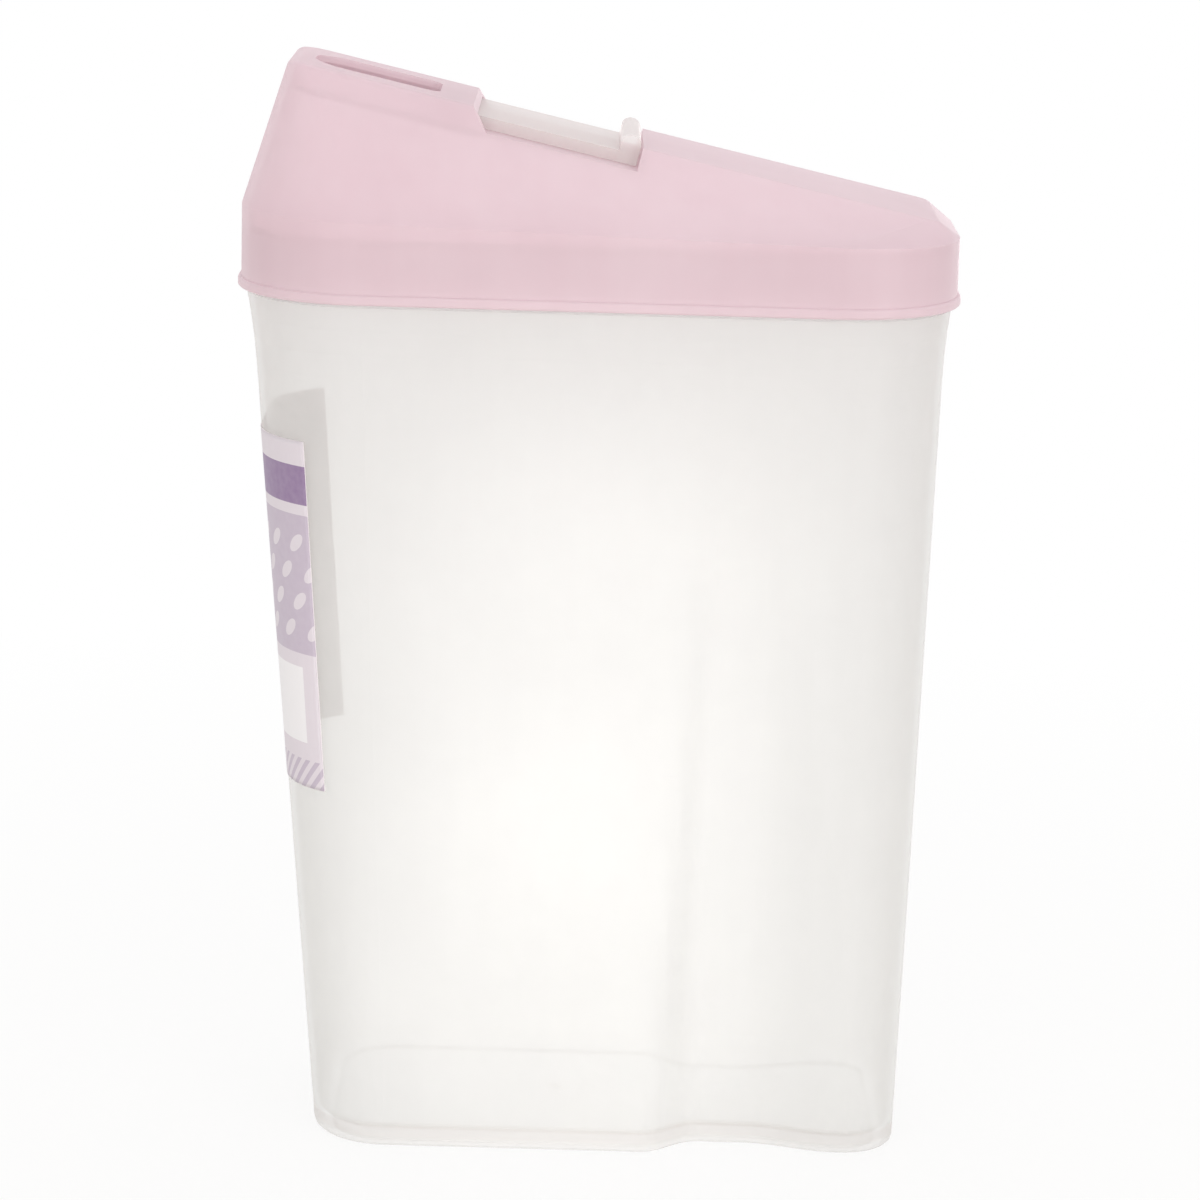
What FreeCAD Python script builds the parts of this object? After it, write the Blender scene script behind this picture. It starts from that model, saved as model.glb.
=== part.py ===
"""Cereal container: a tapered bucket, its pouring lid, the lid's sliding cover and a film label.

Millimetres. X runs along the container, with the spout at -X, Y is its depth and Z is up.
The origin is on the surface that the container stands on, under the middle of the lid.
"""
import FreeCAD
import Part
import math
import os

Vector = FreeCAD.Vector

# Lid plan, over the bead round the skirt's lower edge
lid_length = 170.0
lid_depth = 85.0
lid_corner_radius = 29.5
bead_reach = 0.8
bead_height = 2.4
bead_rounding = 0.7

# Lid heights and walls: the skirt is lower at its tail end than at the spout
skirt_spout_height = 19.4
skirt_tail_height = 15.8
skirt_overlap = 13.0
skirt_wall = 1.6
web_thickness = 1.8
plug_wall = 1.4
plug_height = 12.0
hip_wall = 1.4
roof_thickness = 1.6
roof_rounding = 2.0

# Sloping roof: its tail's rise over the skirt, its setbacks from the skirt's ends, its width
roof_slope = 12.33
tail_rise = 4.21
spout_setback = 10.7
tail_setback = 5.5
roof_width = 39.0
spout_corner_radius = 6.5
tail_corner_radius = 2.2

# Pour mouth, and the track that holds the sliding cover, measured along the roof and below it
mouth_side_rim = 9.5
mouth_spout_rim = 5.5
mouth_length = 30.3
mouth_spout_radius = 8.0
mouth_corner_radius = 3.2
bridge_length = 8.4
recess_bridge_slant = 4.3
recess_tail_slant = 0.3
track_thickness = 1.6
ledge_width = 5.0
tail_wall = 1.5

# Sliding cover
cover_thickness = 2.7
cover_corner_radius = 10.0
cover_tail_radius = 0.5
cover_rim = 2.0
cover_relief = 1.2
thumb_bar_length = 4.7
thumb_bar_rise = 4.2
thumb_bar_rounding = 2.2

# Bucket
bucket_height = 219.0
bucket_wall = 1.4
collar_height = 13.8
collar_wall = 1.6
collar_step = 0.6
flare_reach = 0.9
flare_height = 17.0
base_length = 141.4
base_depth = 74.6
base_shift = 6.7
base_spout_radius = 18.0
base_tail_radius = 13.0
base_rounding = 2.2
floor_thickness = 2.0
floor_rounding = 4.0
foot_width = 4.5
foot_height = 1.2

# Grip recess in each broad side, measured at the base from the middle of the lid
grip_start = 15.5
grip_step = 14.0
grip_floor_end = 41.0
grip_ease = 22.0
grip_depth = 8.4
grip_tail_depth = 3.5
grip_height = 166.0
grip_softness = 0.4

# Label round the spout end
label_low = 88.3
label_height = 84.2
label_chord = 70.0
label_thickness = 0.2

# Clearances
seat_clearance = 0.2
lid_clearance = 0.3
cover_clearance = 0.2
cover_headroom = 0.5
cover_side_clearance = 0.6
cover_end_clearance = 0.3
cover_spout_gap = 2.4
label_clearance = 0.05

# Sampling of the bucket's curved outline
side_count = 32
corner_count = 10
end_count = 8
wall_count = 14
rounding_count = 3
flare_count = 3

# Edges this near to a level lie in it
level_tolerance = 0.01

# Heights that follow
web_top_z = bucket_height + seat_clearance + web_thickness
skirt_low_z = bucket_height - skirt_overlap
crease_tail_z = skirt_low_z + skirt_tail_height
crease_z = skirt_low_z + (skirt_spout_height + skirt_tail_height) / 2
wall_top_z = bucket_height - collar_height
floor_top_z = foot_height + floor_thickness

# Half sizes of the nested outlines that follow
skirt_x = lid_length / 2 - bead_reach
skirt_y = lid_depth / 2 - bead_reach
skirt_radius = lid_corner_radius - bead_reach
collar_inset = skirt_wall + lid_clearance
plug_inset = collar_inset + collar_wall + lid_clearance
wall_inset = collar_inset - collar_step

# Crease frame: the crease lies in a plane that falls towards the tail
crease_slope = math.degrees(math.atan2(skirt_spout_height - skirt_tail_height, 2 * skirt_x))
crease_frame = FreeCAD.Placement(Vector(0, 0, crease_z), FreeCAD.Rotation(Vector(0, 1, 0), crease_slope))

# Roof frame: u runs down the slope, n is square to it, both zero over the origin
slope_cos = math.cos(math.radians(roof_slope))
roof_rise = tail_rise + (skirt_x - tail_setback) * math.tan(math.radians(roof_slope))
slope_frame = FreeCAD.Placement(
    Vector(0, 0, crease_tail_z + roof_rise), FreeCAD.Rotation(Vector(0, 1, 0), roof_slope))
roof_low_u = (-skirt_x + spout_setback) / slope_cos
roof_high_u = (skirt_x - tail_setback) / slope_cos

# Levels of the cover and its recess below the roof
cover_top_n = -(roof_thickness + cover_headroom)
cover_low_n = cover_top_n - cover_thickness
recess_n = cover_low_n - cover_clearance

# Places along the roof: the cover's travel takes its end past the mouth, to a gap from the spout's edge
mouth_low_u = roof_low_u + mouth_spout_rim
mouth_high_u = mouth_low_u + mouth_length
cover_low_u = mouth_high_u + cover_clearance
cover_travel = cover_low_u - (roof_low_u + cover_spout_gap)
recess_low_u = mouth_high_u + bridge_length
bridge_end_u = recess_low_u + recess_bridge_slant * roof_thickness / -recess_n
cover_high_u = bridge_end_u + cover_end_clearance + cover_travel + thumb_bar_length
recess_foot_u = cover_high_u + cover_end_clearance
recess_high_u = recess_foot_u + recess_tail_slant
cover_half_width = roof_width / 2 - hip_wall - cover_side_clearance

# A length that reaches past the whole lid
far = lid_length


def rounded_wire(x_low, x_high, half_depth, low_radius, high_radius, z=0.0):
    """A flat rectangle of lines and arcs whose corner radii differ between its two ends."""
    def corner(cx, cy, radius, start):
        angles = [math.radians(start + step) for step in (0, 45, 90)]
        points = [Vector(cx + radius * math.cos(a), cy + radius * math.sin(a), z) for a in angles]
        return Part.Arc(*points).toShape()

    arcs = [
        corner(x_high - high_radius, -half_depth + high_radius, high_radius, -90),
        corner(x_high - high_radius, half_depth - high_radius, high_radius, 0),
        corner(x_low + low_radius, half_depth - low_radius, low_radius, 90),
        corner(x_low + low_radius, -half_depth + low_radius, low_radius, 180),
    ]
    edges = []
    for arc, following in zip(arcs, arcs[1:] + arcs[:1]):
        edges.append(arc)
        line = Part.LineSegment(arc.Vertexes[-1].Point, following.Vertexes[0].Point)
        edges.append(line.toShape())
    return Part.Wire(edges)


def skirt_wire(inset, z):
    """The lid's plan outline, drawn in from the skirt's outer face."""
    radius = skirt_radius - inset
    return rounded_wire(-skirt_x + inset, skirt_x - inset, skirt_y - inset, radius, radius, z)


def crease_wire(inset, drop):
    """The line where the skirt meets the leaning walls, drawn in and lowered."""
    wire = skirt_wire(inset, 0)
    wire.Placement = crease_frame
    return wire.translated(Vector(0, 0, -drop))


def skirt_solid(inset):
    """The skirt's height, filled, drawn in from its outer face."""
    return Part.makeLoft([skirt_wire(inset, skirt_low_z), crease_wire(inset, 0)], True, True)


def ring(outer_inset, inner_inset, z_low, z_high):
    """A plain wall between two of the lid's plan outlines."""
    lift = Vector(0, 0, z_high - z_low)
    outer = Part.Face(skirt_wire(outer_inset, z_low)).extrude(lift)
    return outer.cut(Part.Face(skirt_wire(inner_inset, z_low)).extrude(lift))


def on_slope(shape):
    """Carry a shape from the roof's own frame to its place."""
    moved = shape.copy()
    moved.Placement = slope_frame.multiply(shape.Placement)
    return moved


def slope_profile(points, half_depth):
    """A prism across the depth, from (u, n) points in the roof's frame."""
    corners = [Vector(u, -half_depth, n) for u, n in points]
    face = Part.Face(Part.makePolygon(corners + corners[:1]))
    return on_slope(face.extrude(Vector(0, 2 * half_depth, 0)))


def slope_prism(wire, n_low, n_high):
    """A prism square to the roof, from a plan wire in its frame."""
    moved = wire.translated(Vector(0, 0, n_low))
    return on_slope(Part.Face(moved).extrude(Vector(0, 0, n_high - n_low)))


def hip_solid(inset, drop):
    """The leaning lid top, from the skirt's outline to the roof's, drawn in and lowered."""
    crease = crease_wire(inset, drop)
    roof = rounded_wire(
        roof_low_u + inset, roof_high_u - inset, roof_width / 2 - inset,
        spout_corner_radius - inset, tail_corner_radius - inset)
    roof = on_slope(roof).translated(Vector(0, 0, -drop))
    return Part.makeLoft([crease, roof], True, True)


def make_track():
    """Floor of the cover's recess, its end wall, and the ledge under the pour mouth."""
    low_n = recess_n - track_thickness
    floor = slope_profile(
        [(roof_low_u - far, low_n), (recess_high_u + tail_wall, low_n),
         (recess_high_u + tail_wall, recess_n), (roof_low_u - far, recess_n)], far)
    tail = slope_profile(
        [(recess_foot_u, low_n), (recess_foot_u, recess_n), (recess_high_u, 0),
         (recess_high_u + tail_wall, 0), (recess_high_u + tail_wall, low_n)], far)
    opening = rounded_wire(
        mouth_low_u, mouth_high_u, cover_half_width - ledge_width,
        mouth_spout_radius, mouth_corner_radius)
    body = floor.fuse(tail).common(hip_solid(hip_wall / 2, roof_thickness / 2))
    return body.cut(slope_prism(opening, low_n, recess_n))


def make_lid():
    """Pouring lid: skirt with bead, plug ring, leaning walls, roof, mouth and cover track."""
    top = hip_solid(0, 0)
    to_roof = slope_frame.inverse()
    roof_edges = [edge for edge in top.Edges
                  if abs(to_roof.multVec(edge.CenterOfMass).z) < level_tolerance]
    top = top.makeFillet(roof_rounding, roof_edges).cut(hip_solid(hip_wall, roof_thickness))
    mouth = rounded_wire(
        mouth_low_u, mouth_high_u, roof_width / 2 - mouth_side_rim,
        mouth_spout_radius, mouth_corner_radius)
    recess = slope_profile(
        [(recess_low_u + recess_bridge_slant, recess_n), (recess_foot_u, recess_n),
         (recess_high_u, 0), (recess_high_u, far), (recess_low_u, far), (recess_low_u, 0)], far)
    top = top.cut(slope_prism(mouth, cover_top_n, far)).cut(recess)
    bead = Part.Face(skirt_wire(-bead_reach, skirt_low_z)).extrude(Vector(0, 0, bead_height))
    bead_edges = [edge for edge in bead.Edges if edge.BoundBox.ZLength < level_tolerance]
    bead = bead.makeFillet(bead_rounding, bead_edges)
    hollow = Part.Face(skirt_wire(skirt_wall, skirt_low_z)).extrude(Vector(0, 0, bead_height))
    pieces = [
        bead.cut(hollow),
        skirt_solid(0).cut(skirt_solid(skirt_wall)),
        ring(skirt_wall / 2, plug_inset + plug_wall, web_top_z - web_thickness, web_top_z),
        ring(plug_inset, plug_inset + plug_wall, web_top_z - plug_height, web_top_z),
        make_track(),
    ]
    return top.fuse(pieces).removeSplitter()


def make_slide_cover():
    """Closing plate with a thumb bar across its lower end, shown slid open."""
    plate_wire = rounded_wire(
        cover_low_u, cover_high_u, cover_half_width, cover_corner_radius, cover_tail_radius)
    plate = slope_prism(plate_wire, cover_low_n, cover_top_n)
    relief_wire = rounded_wire(
        cover_low_u + cover_rim, cover_high_u - thumb_bar_length, cover_half_width - cover_rim,
        cover_corner_radius - cover_rim, cover_rim)
    relief = slope_prism(relief_wire, cover_low_n, cover_low_n + cover_relief)
    bar_top_n = cover_top_n + thumb_bar_rise
    bar = Part.makeBox(
        thumb_bar_length, 2 * cover_half_width, bar_top_n - cover_low_n,
        Vector(cover_high_u - thumb_bar_length, -cover_half_width, cover_low_n))
    top_edges = [edge for edge in bar.Edges
                 if edge.BoundBox.ZMin > cover_top_n and edge.BoundBox.YLength > cover_half_width]
    bar = on_slope(bar.makeFillet(thumb_bar_rounding, top_edges))
    return plate.fuse(bar).cut(relief).removeSplitter()


def ease(t):
    """Smooth rise from 0 to 1 as t goes from 0 to 1."""
    t = min(max(t, 0.0), 1.0)
    return t * t * (3 - 2 * t)


def grip(x, z):
    """Depth of the grip recess at a place along the bucket and at a height."""
    full = grip_depth * ease((x - grip_start) / grip_step)
    full -= (grip_depth - grip_tail_depth) * ease((x - grip_floor_end) / grip_ease)
    left = full - grip_depth * z / grip_height
    return (left + math.hypot(left, grip_softness)) / 2


def wall_points(z, inset):
    """Points round the bucket's wall at a height, drawn in from its outer face."""
    share = z / wall_top_z
    spread = flare_reach * max(0.0, 1 - (wall_top_z - z) / flare_height) ** 2 - inset
    top_inset = wall_inset + flare_reach

    def between(base, top):
        return base + (top - base) * share

    x_low = between(base_shift - base_length / 2, -skirt_x + top_inset) - spread
    x_high = between(base_shift + base_length / 2, skirt_x - top_inset) + spread
    half = between(base_depth / 2, skirt_y - top_inset) + spread
    low_radius = between(base_spout_radius, skirt_radius - wall_inset) - inset
    high_radius = between(base_tail_radius, skirt_radius - wall_inset) - inset
    stops = [
        (x_low + low_radius, -half), (x_high - high_radius, -half),
        (x_high, -half + high_radius), (x_high, half - high_radius),
        (x_high - high_radius, half), (x_low + low_radius, half),
        (x_low, half - low_radius), (x_low, -half + low_radius),
    ]
    counts = [side_count, corner_count, end_count, corner_count] * 2
    radii = [0, high_radius, 0, high_radius, 0, low_radius, 0, low_radius]
    points = []
    for index, (start, stop) in enumerate(zip(stops, stops[1:] + stops[:1])):
        first_angle = math.radians(-90 + 90 * (index // 2))
        for step in range(counts[index]):
            part = step / counts[index]
            x = start[0] + (stop[0] - start[0]) * part
            y = start[1] + (stop[1] - start[1]) * part
            if radii[index]:
                angle = first_angle + math.radians(90) * part
                x = start[0] + radii[index] * (math.cos(angle) - math.cos(first_angle))
                y = start[1] + radii[index] * (math.sin(angle) - math.sin(first_angle))
            points.append(Vector(x, y * (1 - grip(x, z) / half), z))
    return points


def wall_wire(z, inset, shape_z=None):
    """A closed smooth outline of the bucket at a height, with knots shared by all heights."""
    model = wall_points(wall_top_z / 2, 0)
    knots = [0.0]
    for start, stop in zip(model, model[1:] + model[:1]):
        knots.append(knots[-1] + start.distanceToPoint(stop))
    points = wall_points(z if shape_z is None else shape_z, inset)
    curve = Part.BSplineCurve()
    curve.interpolate(Points=[Vector(p.x, p.y, z) for p in points], PeriodicFlag=True, Parameters=knots)
    return Part.Wire(curve.toShape())


def wall_solid(inset, z_low, rounding, z_high):
    """A solid bounded by the bucket's outline, with a rounded lower edge."""
    wires = []
    for step in range(rounding_count):
        angle = math.radians(90) * step / rounding_count
        z = z_low + rounding * (1 - math.cos(angle))
        wires.append(wall_wire(z, inset + rounding * (1 - math.sin(angle)), z_low + rounding))
    start = z_low + rounding
    stop = wall_top_z - flare_height
    for step in range(wall_count):
        wires.append(wall_wire(start + (stop - start) * step / wall_count, inset))
    for step in range(flare_count + 1):
        wires.append(wall_wire(stop + (z_high - stop) * step / flare_count, inset))
    return Part.makeLoft(wires, True, True)


def make_container_body():
    """Bucket: tapered wall with a grip recess in each broad side, collar, floor and foot ring."""
    shell = wall_solid(0, 0, base_rounding, wall_top_z)
    shell = shell.cut(wall_solid(bucket_wall, floor_top_z, floor_rounding, wall_top_z))
    under = Part.Face(wall_wire(0, foot_width)).extrude(Vector(0, 0, foot_height))
    collar = ring(collar_inset, collar_inset + collar_wall, wall_top_z, bucket_height)
    return shell.cut(under).fuse(collar)


def make_label():
    """Film label stuck round the bucket's spout end."""
    z_high = label_low + label_height
    inner = -label_clearance
    outer = inner - label_thickness
    sheet = wall_solid(outer, 0, base_rounding, wall_top_z)
    sheet = sheet.cut(wall_solid(inner, 0, base_rounding, wall_top_z))
    window = Part.makeBox(far, label_chord, z_high - label_low, Vector(-far, -label_chord / 2, label_low))
    return sheet.common(window)


os.makedirs("parts", exist_ok=True)
subparts = {
    "container_body": make_container_body,
    "lid": make_lid,
    "slide_cover": make_slide_cover,
    "label": make_label,
}
for name, make in subparts.items():
    shape = make()
    shape.exportStep("parts/" + name + ".step")
    box = shape.BoundBox
    print(f"{name}: {len(shape.Solids)} solid, valid {shape.isValid()}, {shape.Volume / 1000:.1f} cm3,"
          f" x {box.XMin:.2f} {box.XMax:.2f} y {box.YMin:.2f} {box.YMax:.2f} z {box.ZMin:.2f} {box.ZMax:.2f}")
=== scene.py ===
"""Looks of the cereal container: translucent bucket, pink pouring lid, sliding cover and label.

Metres. X runs along the container, with the spout at -X, Y is its depth and Z is up.
"""

import math

import bmesh
import bpy
from mathutils import Matrix, Vector
from mathutils.bvhtree import BVHTree


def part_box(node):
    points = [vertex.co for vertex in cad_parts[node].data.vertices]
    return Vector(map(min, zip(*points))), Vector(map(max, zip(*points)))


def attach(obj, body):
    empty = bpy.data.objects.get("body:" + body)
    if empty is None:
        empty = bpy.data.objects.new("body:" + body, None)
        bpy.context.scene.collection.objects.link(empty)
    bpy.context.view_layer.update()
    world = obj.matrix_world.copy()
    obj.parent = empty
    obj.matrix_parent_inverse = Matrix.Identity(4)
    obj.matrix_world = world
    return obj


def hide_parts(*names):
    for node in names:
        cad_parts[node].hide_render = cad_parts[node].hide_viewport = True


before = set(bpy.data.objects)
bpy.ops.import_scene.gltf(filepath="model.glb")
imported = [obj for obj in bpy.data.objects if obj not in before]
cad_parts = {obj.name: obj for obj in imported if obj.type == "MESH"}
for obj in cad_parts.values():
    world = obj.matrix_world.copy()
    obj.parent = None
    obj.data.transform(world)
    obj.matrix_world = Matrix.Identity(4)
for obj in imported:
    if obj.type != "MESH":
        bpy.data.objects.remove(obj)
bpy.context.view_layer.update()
millimetre = 0.001

# The photograph's view: where the camera stood, how it was turned, its lens and its near limit
camera_place = Vector((-0.99, -952.68, 356.71)) * millimetre
camera_yaw = -0.20
camera_pitch = 13.47
camera_roll = 1.68
focal_pixels = 4030.0
photo_pixels = 1200.0
sensor_width = 36.0
near_clip = 0.05

# Colours, as a screen shows them, from 0 to 255
natural_dense = (235, 234, 232)
natural_thin = (239, 238, 236)
pink_dense = (240, 217, 224)
pink_thin = (243, 223, 229)
cover_dense = (240, 232, 230)
cover_thin = (243, 236, 234)
label_lilac = (189, 176, 190)
label_pale = (215, 206, 212)
label_purple = (140, 115, 150)
label_white = (233, 230, 231)
label_back = (247, 240, 242)
foot_colour = (222, 218, 215)
floor_colour = (240, 237, 233)

# Moulded plastic's noises: features per metre, how streaks stretch and mix with clouds, the peel's depth
cloud_scale = 22.0
cloud_detail = 3.0
streak_scale = 160.0
streak_stretch = (1.0, 1.0, 0.08)
streak_share = 0.35
peel_scale = 260.0
peel_detail = 1.0
peel_strength = 0.05
peel_depth = 0.4 * millimetre

# Moulded plastic's light: refraction, share scattered through, haze towards an edge, spread of the gloss
plastic_index = 1.49
glow_share = 0.25
edge_blend = 0.35
edge_power = 1.6
cloud_haze = 0.02
gloss_spread = (-0.04, 0.06)

# How solid each moulding is face on and at its edges, and how rough
bucket_haze = (0.36, 0.66, 0.36)
lid_haze = (0.72, 0.9, 0.34)
cover_haze = (0.4, 0.9, 0.34)

# Bucket's thick foot: its heights, the lighter shade below its bend, and which faces count as steep
base_middle = Vector((6.7, 0.0, 0.0)) * millimetre
foot_top = 6.2 * millimetre
foot_blur = 0.8 * millimetre
foot_bend = 2.2 * millimetre
foot_bend_shade = 0.45
foot_haze = 0.2
foot_steepness = (0.5, 0.9)

# Bucket's floor: the moulding gate's mark on it, its thinner haze, and which faces count as flat
gate_place = Vector((-5.4, 0.0, 3.2)) * millimetre
gate_core = 0.8 * millimetre
gate_radius = 2.6 * millimetre
gate_haze = 0.5
floor_thinness = 0.2
floor_flatness = (0.8, 1.0)

# Label's print, in shares of its height and length, from its lower edge
field_band = (0.39, 0.79)
flake_band = (0.42, 0.76)
purple_band = (0.82, 0.93)
stripe_band = (0.0, 0.08)
panel_band = (0.13, 0.35)
panel_sides = (0.06, 0.94)

# Flakes and stripes: how many along and up the label, the flakes' lean, narrowing and reach
flake_columns = 9.0
flake_rows = 12.0
flake_lean = 0.5
flake_narrowing = (1.9, 1.25)
flake_reach = 0.16
stripe_columns = 24.0
stripe_rows = 22.0

# Film: wear of the print, grain and gloss of its face, grain and roughness of its back
wear_scale = 40.0
wear_detail = 3.0
wear_share = 0.08
grain_scale = 700.0
grain_strength = 0.08
grain_depth = 0.1 * millimetre
grain_gloss = (0.38, 0.5)
back_scale = 900.0
back_lift = 6
back_roughness = 0.6

# Label's mesh: its divisions, how far inside its ends the rays aim, its trim and thickness, its edge search
label_columns = 72
label_rows = 64
label_axis = 30 * millimetre
label_trim = 0.02 * millimetre
label_film = 0.18 * millimetre
edge_halvings = 24

# Studio: the world's strength as light, the floor's whiteness near and far and the distances of that fade,
# the floor's size, and the limit on light that has bounced
world_light = 0.8
floor_white = (0.86, 1.0)
floor_fade = (0.08, 0.5)
floor_radius = 8.0
floor_segments = 96
light_clamp = 2.0

# Soft lamps: name, place, the point each faces, size and power
lamps = [
    ("key", (-0.6, -1.3, 0.5), (0.0, 0.0, 0.15), (0.9, 0.9), 4.0),
    ("fill", (0.95, -1.1, 0.5), (0.0, 0.0, 0.15), (0.9, 0.9), 5.4),
    ("top", (0.1, 0.5, 1.3), (0.0, 0.0, 0.15), (1.0, 1.0), 2.0),
    ("rear", (0.2, 1.4, 0.1), (0.0, 0.0, 0.12), (0.9, 0.2), 1.6),
]

# Pools of light on the bucket's front: name, place, the point each faces, width there and power
pools = [
    ("pool_high", (-0.004, -1.4, 0.2), (0.0, 0.0, 0.125), 0.16, 24.0),
    ("pool_low", (-0.004, -1.4, 0.2), (0.0, 0.0, 0.035), 0.16, 30.0),
]
pool_softness = 0.03


def linear(colour):
    """A screen colour as the light that it stands for, with full alpha."""
    shares = [channel / 255 for channel in colour]
    light = [s / 12.92 if s <= 0.04045 else ((s + 0.055) / 1.055) ** 2.4 for s in shares]
    return (*light, 1.0)


def node(tree, kind, inputs=None, **settings):
    """A shader node with its settings, and its inputs set or linked by name or number."""
    made = tree.nodes.new(kind)
    for name, value in settings.items():
        setattr(made, name, value)
    for name, value in (inputs or {}).items():
        if isinstance(value, bpy.types.NodeSocket):
            tree.links.new(value, made.inputs[name])
        else:
            made.inputs[name].default_value = value
    return made


def new_material(name):
    """An empty node material and its tree."""
    material = bpy.data.materials.new(name)
    material.use_nodes = True
    material.node_tree.nodes.clear()
    return material, material.node_tree


def maths(tree, operation, first, second=0.0):
    """The result of one sum on two numbers or sockets."""
    return node(tree, "ShaderNodeMath", {0: first, 1: second}, operation=operation).outputs[0]


def vector_maths(tree, operation, first, second):
    """A node for one sum on two vectors."""
    return node(tree, "ShaderNodeVectorMath", {0: first, 1: second}, operation=operation)


def blend(tree, share, first, second):
    """A colour between two, by a share."""
    inputs = {"Factor": share, "A": first, "B": second}
    made = tree.nodes.new("ShaderNodeMix")
    made.data_type = "RGBA"
    for socket in made.inputs:
        if socket.enabled and socket.name in inputs:
            value = inputs[socket.name]
            if isinstance(value, bpy.types.NodeSocket):
                tree.links.new(value, socket)
            else:
                socket.default_value = value
    return next(socket for socket in made.outputs if socket.enabled)


def noise(tree, where, scale, detail=2.0):
    """A soft noise from 0 to 1."""
    inputs = {"Vector": where, "Scale": scale, "Detail": detail}
    return node(tree, "ShaderNodeTexNoise", inputs).outputs["Fac"]


def between(tree, value, low, high, start=0.3, stop=0.7):
    """A value spread from one range to another, held at the ends."""
    inputs = {"Value": value, "From Min": start, "From Max": stop, "To Min": low, "To Max": high}
    return node(tree, "ShaderNodeMapRange", inputs).outputs["Result"]


def moulded_plastic(name, dense, thin, hazes, thicker=None):
    """Hazy moulded plastic: clouded colour, flow streaks, soft peel, and light passing through."""
    solid, edge_solid, roughness = hazes
    material, tree = new_material(name)
    coordinates = node(tree, "ShaderNodeTexCoord").outputs
    place = coordinates["Object"]
    stretched = node(tree, "ShaderNodeMapping", {"Vector": place, "Scale": streak_stretch}).outputs[0]
    cloud = noise(tree, place, cloud_scale, cloud_detail)
    streak = noise(tree, stretched, streak_scale)
    peel = noise(tree, place, peel_scale, peel_detail)
    mottle = maths(tree, "ADD", maths(tree, "MULTIPLY", streak, streak_share),
                   maths(tree, "MULTIPLY", cloud, 1 - streak_share))
    colour = blend(tree, between(tree, mottle, 0.0, 1.0), linear(dense), linear(thin))
    more_haze = between(tree, cloud, -cloud_haze, cloud_haze)
    if thicker:
        added, shade = thicker(tree, coordinates)
        more_haze = maths(tree, "ADD", more_haze, added)
        colour = blend(tree, shade, colour, linear(foot_colour))
    shine = between(tree, mottle, *[roughness + spread for spread in gloss_spread])
    bump = node(tree, "ShaderNodeBump", {"Height": peel, "Strength": peel_strength, "Distance": peel_depth})
    body = node(tree, "ShaderNodeBsdfPrincipled", {
        "Base Color": colour, "Roughness": shine, "IOR": plastic_index, "Normal": bump.outputs[0]})
    glow = node(tree, "ShaderNodeBsdfTranslucent", {"Color": colour})
    milky = node(tree, "ShaderNodeMixShader", {0: glow_share, 1: body.outputs[0], 2: glow.outputs[0]})
    clear = node(tree, "ShaderNodeBsdfTransparent")
    facing = node(tree, "ShaderNodeLayerWeight", {"Blend": edge_blend}).outputs["Facing"]
    haze = between(tree, maths(tree, "POWER", facing, edge_power), solid, edge_solid, 0.0, 1.0)
    haze = maths(tree, "ADD", haze, more_haze)
    mixed = node(tree, "ShaderNodeMixShader", {0: haze, 1: clear.outputs[0], 2: milky.outputs[0]})
    node(tree, "ShaderNodeOutputMaterial", {"Surface": mixed.outputs[0]})
    return material


def bucket_thickness(tree, coordinates):
    """Haze to add to the bucket, and where to shade it: the foot's outer face and the moulding gate."""
    place, normal = coordinates["Object"], coordinates["Normal"]
    height = node(tree, "ShaderNodeSeparateXYZ", {0: place}).outputs["Z"]
    level = maths(tree, "ABSOLUTE", node(tree, "ShaderNodeSeparateXYZ", {0: normal}).outputs["Z"])
    below_top = between(tree, height, 1.0, 0.0, foot_top - foot_blur, foot_top)
    above_bend = between(tree, height, foot_bend_shade, 1.0, foot_bend, foot_bend + foot_blur)
    steep = between(tree, level, 1.0, 0.0, *foot_steepness)
    out = vector_maths(tree, "SUBTRACT", place, base_middle).outputs["Vector"]
    outward = vector_maths(tree, "DOT_PRODUCT", out, normal).outputs["Value"]
    foot = maths(tree, "GREATER_THAN", outward, 0.0)
    for share in (below_top, above_bend, steep):
        foot = maths(tree, "MULTIPLY", foot, share)
    away = vector_maths(tree, "DISTANCE", place, gate_place).outputs["Value"]
    gate = between(tree, away, 1.0, 0.0, gate_core, gate_radius)
    floor = between(tree, level, 0.0, -floor_thinness, *floor_flatness)
    thick = maths(tree, "ADD", maths(tree, "MULTIPLY", foot, foot_haze),
                  maths(tree, "MULTIPLY", gate, gate_haze))
    return maths(tree, "ADD", floor, thick), maths(tree, "MAXIMUM", foot, gate)


def plain_film(name, colour):
    """Back of the label, with a fine grain."""
    material, tree = new_material(name)
    place = node(tree, "ShaderNodeTexCoord").outputs["Object"]
    grain = noise(tree, place, back_scale)
    lighter = tuple(min(channel + back_lift, 255) for channel in colour)
    shade = blend(tree, between(tree, grain, 0.0, 1.0), linear(colour), linear(lighter))
    film = node(tree, "ShaderNodeBsdfPrincipled", {"Base Color": shade, "Roughness": back_roughness})
    node(tree, "ShaderNodeOutputMaterial", {"Surface": film.outputs[0]})
    return material


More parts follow.
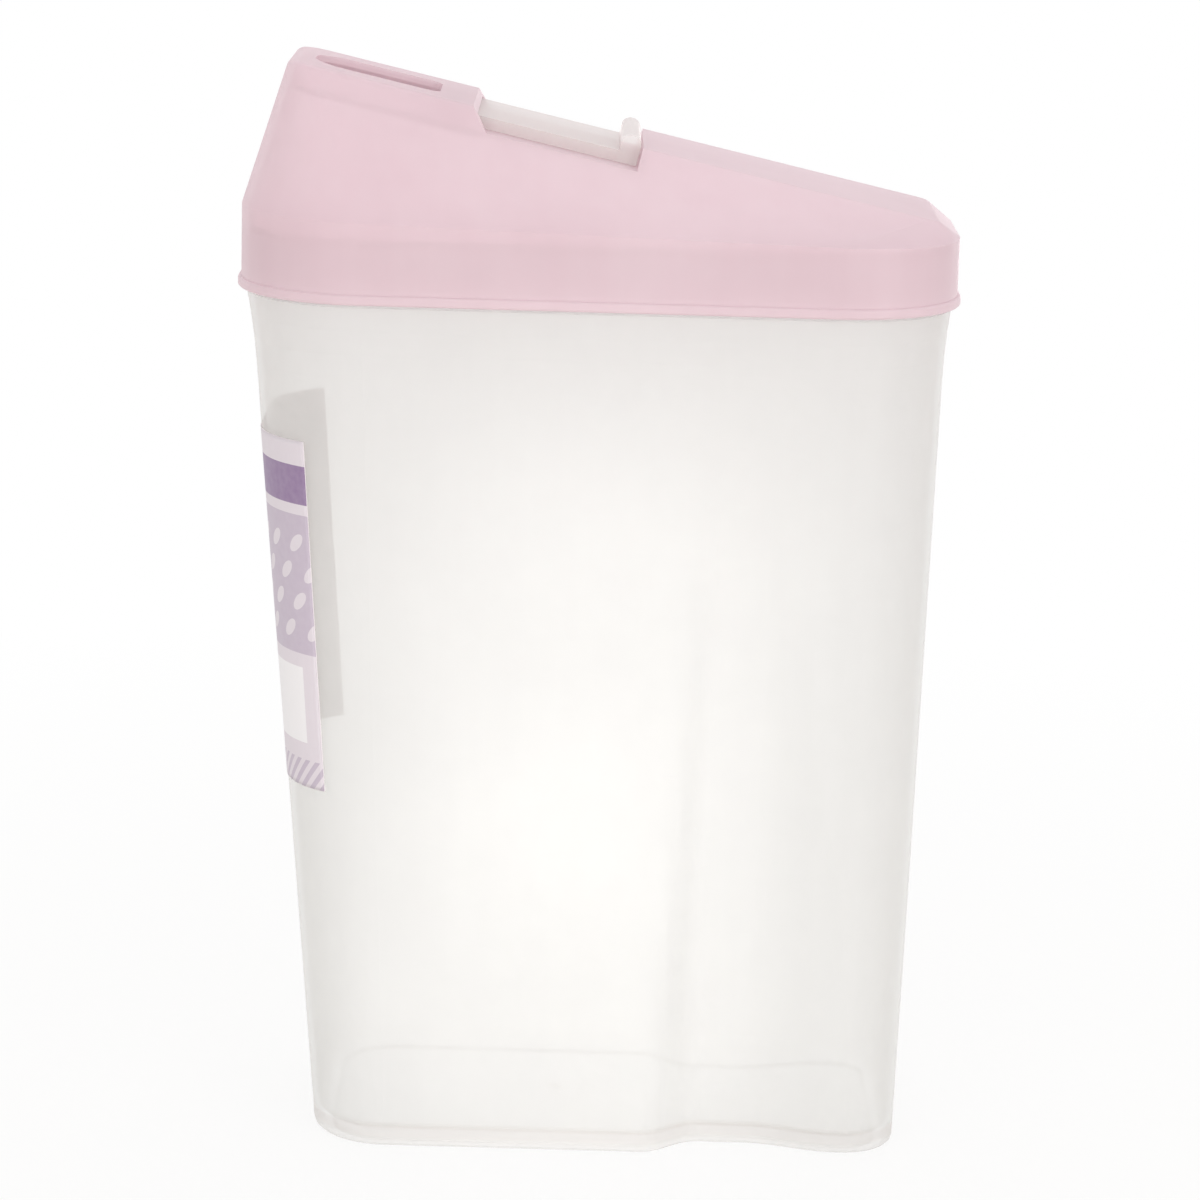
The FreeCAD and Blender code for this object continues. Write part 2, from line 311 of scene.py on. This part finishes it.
def printed_film(name):
    """Face of the label: bands, a field of flakes and an empty panel to write on."""
    material, tree = new_material(name)
    place = node(tree, "ShaderNodeTexCoord").outputs["UV"]
    across, up, _ = node(tree, "ShaderNodeSeparateXYZ", {0: place}).outputs

    def band(value, low, high):
        """1 between two values, 0 elsewhere."""
        above = maths(tree, "GREATER_THAN", value, low)
        return maths(tree, "MULTIPLY", above, maths(tree, "LESS_THAN", value, high))

    def flakes():
        """Leaning ovals, every other row shifted by half a column."""
        column = maths(tree, "MULTIPLY", across, flake_columns)
        row = maths(tree, "MULTIPLY", up, flake_rows)
        shift = maths(tree, "MULTIPLY", maths(tree, "MODULO", maths(tree, "FLOOR", row), 2.0), 0.5)
        x = maths(tree, "SUBTRACT", maths(tree, "FRACT", maths(tree, "ADD", column, shift)), 0.5)
        y = maths(tree, "SUBTRACT", maths(tree, "FRACT", row), 0.5)
        leaning = maths(tree, "ADD", x, maths(tree, "MULTIPLY", y, flake_lean))
        squares = [maths(tree, "POWER", maths(tree, "MULTIPLY", side, narrowing), 2.0)
                   for side, narrowing in zip((leaning, y), flake_narrowing)]
        return maths(tree, "LESS_THAN", maths(tree, "ADD", *squares), flake_reach)

    field = maths(tree, "MULTIPLY", band(up, *flake_band), flakes())
    panel = maths(tree, "MULTIPLY", band(up, *panel_band), band(across, *panel_sides))
    slant = maths(tree, "FRACT", maths(tree, "ADD", maths(tree, "MULTIPLY", across, stripe_columns),
                                       maths(tree, "MULTIPLY", up, stripe_rows)))
    stripes = maths(tree, "MULTIPLY", band(up, *stripe_band), maths(tree, "LESS_THAN", slant, 0.5))
    colour = blend(tree, band(up, *field_band), linear(label_pale), linear(label_lilac))
    colour = blend(tree, field, colour, linear(label_pale))
    colour = blend(tree, band(up, *purple_band), colour, linear(label_purple))
    colour = blend(tree, panel, colour, linear(label_white))
    colour = blend(tree, stripes, colour, linear(label_lilac))
    wear = noise(tree, place, wear_scale, wear_detail)
    colour = blend(tree, between(tree, wear, 0.0, wear_share), colour, linear(label_white))
    grain = noise(tree, place, grain_scale)
    bump = node(tree, "ShaderNodeBump", {
        "Height": grain, "Strength": grain_strength, "Distance": grain_depth})
    film = node(tree, "ShaderNodeBsdfPrincipled", {
        "Base Color": colour, "Roughness": between(tree, grain, *grain_gloss), "Normal": bump.outputs[0]})
    node(tree, "ShaderNodeOutputMaterial", {"Surface": film.outputs[0]})
    return material


def make_label(face, back):
    """The label as a film whose face is mapped by its own length, laid where the node is."""
    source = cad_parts["label"]
    tree = BVHTree.FromObject(source, bpy.context.evaluated_depsgraph_get())
    low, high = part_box("label")
    rows = []
    for row in range(label_rows + 1):
        z = low.z + label_trim + (high.z - low.z - 2 * label_trim) * row / label_rows
        axis = Vector((high.x + label_axis, 0.0, z))
        last = edge_angle(tree, axis, high.y - label_trim)
        first = -edge_angle(tree, axis, high.y - label_trim, -1)
        steps = [first + (last - first) * column / label_columns for column in range(label_columns + 1)]
        rows.append([reach(tree, axis, angle) for angle in steps])
    mesh = bmesh.new()
    build_film(mesh, mesh.loops.layers.uv.new("print"), rows)
    data = bpy.data.meshes.new("label_film")
    mesh.to_mesh(data)
    mesh.free()
    data.materials.append(face)
    data.materials.append(back)
    film = bpy.data.objects.new("label_film", data)
    bpy.context.scene.collection.objects.link(film)
    return film


def reach(tree, axis, angle):
    """Where a level ray from outside, aimed at a point in the bucket, meets the label's face."""
    away = Vector((-math.cos(angle), math.sin(angle), 0.0))
    place, normal, _, _ = tree.ray_cast(axis + away, -away)
    return place, normal


def edge_angle(tree, axis, half_chord, side=1):
    """The turn from the spout's direction at which the label's face reaches a distance to one side."""
    met, missed = 0.0, math.pi / 2
    for _ in range(edge_halvings):
        middle = (met + missed) / 2
        place, _ = reach(tree, axis, side * middle)
        if place is None or side * place.y > half_chord:
            missed = middle
        else:
            met = middle
    return met


def build_film(mesh, maps, rows):
    """Faces of the film: printed face, back and rim."""
    fronts = [[mesh.verts.new(place) for place, _ in row] for row in rows]
    backs = [[mesh.verts.new(place - normal * label_film) for place, normal in row] for row in rows]
    lengths = [0.0]
    for first, second in zip(fronts[0], fronts[0][1:]):
        lengths.append(lengths[-1] + (second.co - first.co).length)
    for r in range(label_rows):
        for c in range(label_columns):
            corners = [(r, c), (r, c + 1), (r + 1, c + 1), (r + 1, c)]
            face = mesh.faces.new([fronts[i][j] for i, j in reversed(corners)])
            face.smooth = True
            for loop, (i, j) in zip(face.loops, reversed(corners)):
                loop[maps].uv = (lengths[j] / lengths[-1], i / label_rows)
            back = mesh.faces.new([backs[i][j] for i, j in corners])
            back.smooth = True
            back.material_index = 1
    rim = [(0, c) for c in range(label_columns)]
    rim += [(r, label_columns) for r in range(label_rows)]
    rim += [(label_rows, c) for c in range(label_columns, 0, -1)]
    rim += [(r, 0) for r in range(label_rows, 0, -1)]
    for (i, j), (k, m) in zip(rim, rim[1:] + rim[:1]):
        face = mesh.faces.new([fronts[i][j], fronts[k][m], backs[k][m], backs[i][j]])
        face.material_index = 1
    mesh.normal_update()


def make_camera():
    """The camera, where the photograph's stood."""
    data = bpy.data.cameras.new("camera")
    data.sensor_width = sensor_width
    data.lens = focal_pixels / photo_pixels * sensor_width
    data.clip_start = near_clip
    camera = bpy.data.objects.new("camera", data)
    turn = Matrix.Rotation(math.radians(camera_yaw), 4, "Z")
    turn @= Matrix.Rotation(math.radians(90 - camera_pitch), 4, "X")
    turn @= Matrix.Rotation(math.radians(camera_roll), 4, "Z")
    camera.matrix_world = Matrix.Translation(camera_place) @ turn
    bpy.context.scene.collection.objects.link(camera)
    bpy.context.scene.camera = camera


def make_lamp(name, place, target, size, power):
    """A soft oblong lamp aimed at a point."""
    data = bpy.data.lights.new(name, "AREA")
    data.shape = "RECTANGLE"
    data.size, data.size_y = size
    data.energy = power
    lamp = bpy.data.objects.new(name, data)
    lamp.location = place
    lamp.rotation_euler = (Vector(target) - Vector(place)).to_track_quat("-Z", "Y").to_euler()
    bpy.context.scene.collection.objects.link(lamp)


def make_spot(name, place, target, width, power):
    """A lamp whose round pool of light fades out from its middle."""
    data = bpy.data.lights.new(name, "SPOT")
    aim = Vector(target) - Vector(place)
    data.spot_size = 2 * math.atan2(width / 2, aim.length)
    data.spot_blend = 1.0
    data.shadow_soft_size = pool_softness
    data.energy = power
    lamp = bpy.data.objects.new(name, data)
    lamp.location = place
    lamp.rotation_euler = aim.to_track_quat("-Z", "Y").to_euler()
    bpy.context.scene.collection.objects.link(lamp)


def seen_rays(tree):
    """1 for rays that show the surroundings, by eye, in gloss or through glass."""
    path = node(tree, "ShaderNodeLightPath").outputs
    seen = maths(tree, "MAXIMUM", path["Is Camera Ray"], path["Is Glossy Ray"])
    return maths(tree, "MAXIMUM", seen, path["Is Transmission Ray"])


def make_world():
    """White to the eye, and an even soft light."""
    world = bpy.data.worlds.new("studio")
    world.use_nodes = True
    tree = world.node_tree
    tree.nodes.clear()
    strength = between(tree, seen_rays(tree), world_light, 1.0, 0.0, 1.0)
    light = node(tree, "ShaderNodeBackground", {"Color": (1.0, 1.0, 1.0, 1.0), "Strength": strength})
    node(tree, "ShaderNodeOutputWorld", {"Surface": light.outputs[0]})
    bpy.context.scene.world = world


def make_floor():
    """A pale floor that keeps a soft shadow near the object and fades to white far away."""
    material, tree = new_material("floor")
    place = node(tree, "ShaderNodeTexCoord").outputs["Object"]
    far = node(tree, "ShaderNodeVectorMath", {0: place}, operation="LENGTH").outputs["Value"]
    white = maths(tree, "MULTIPLY", between(tree, far, *floor_white, *floor_fade), seen_rays(tree))
    paint = node(tree, "ShaderNodeBsdfDiffuse", {"Color": linear(floor_colour)})
    glow = node(tree, "ShaderNodeEmission", {"Color": (1.0, 1.0, 1.0, 1.0), "Strength": 1.0})
    mixed = node(tree, "ShaderNodeMixShader", {0: white, 1: paint.outputs[0], 2: glow.outputs[0]})
    node(tree, "ShaderNodeOutputMaterial", {"Surface": mixed.outputs[0]})
    mesh = bmesh.new()
    bmesh.ops.create_circle(mesh, cap_ends=True, segments=floor_segments, radius=floor_radius)
    data = bpy.data.meshes.new("floor")
    mesh.to_mesh(data)
    mesh.free()
    data.materials.append(material)
    floor = bpy.data.objects.new("floor", data)
    bpy.context.scene.collection.objects.link(floor)


def dress(name, material):
    """Give a node of the frame its material."""
    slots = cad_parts[name].data.materials
    slots.clear()
    slots.append(material)


bpy.context.scene.view_settings.view_transform = "Standard"
bpy.context.scene.cycles.sample_clamp_indirect = light_clamp
make_camera()
make_world()
make_floor()
for lamp in lamps:
    make_lamp(*lamp)
for pool in pools:
    make_spot(*pool)

dress("container_body", moulded_plastic(
    "natural_plastic", natural_dense, natural_thin, bucket_haze, bucket_thickness))
dress("lid", moulded_plastic("pink_plastic", pink_dense, pink_thin, lid_haze))
dress("slide_cover", moulded_plastic("natural_cover", cover_dense, cover_thin, cover_haze))

label = make_label(printed_film("label_print"), plain_film("label_back", label_back))
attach(label, "bucket")
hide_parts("label")
